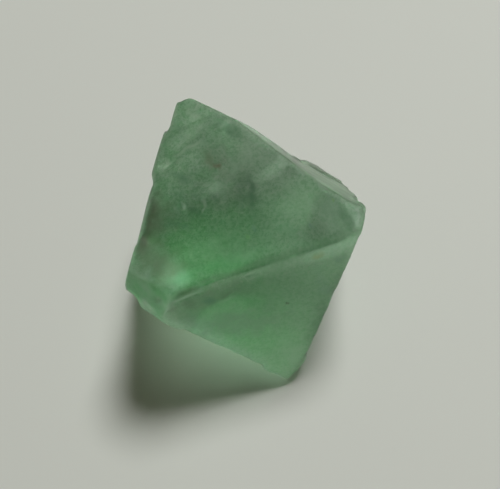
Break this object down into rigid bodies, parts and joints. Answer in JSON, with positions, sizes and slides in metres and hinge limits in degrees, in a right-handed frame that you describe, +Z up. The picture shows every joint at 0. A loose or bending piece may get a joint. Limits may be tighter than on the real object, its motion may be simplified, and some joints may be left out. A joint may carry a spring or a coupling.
{
  "type": "fluorite octahedron",
  "caption": "Cleaved octahedron of cloudy green fluorite lying on one face, with stepped ledges, chipped edges and worn corners.",
  "frame": {"origin": "on the surface it lies on, under the middle of the octahedron", "axes": "+Z up, square to the resting face and the top face; the ridge between the top and front faces runs along X, and the front face looks towards -Y"},
  "size_m": [0.021, 0.0224, 0.0159],
  "materials": {
    "fluorite": "cloudy clear green, frosted by wear"
  },
  "bodies": {
    "root": {"crystal": "fluorite"}
  },
  "joints": []
}
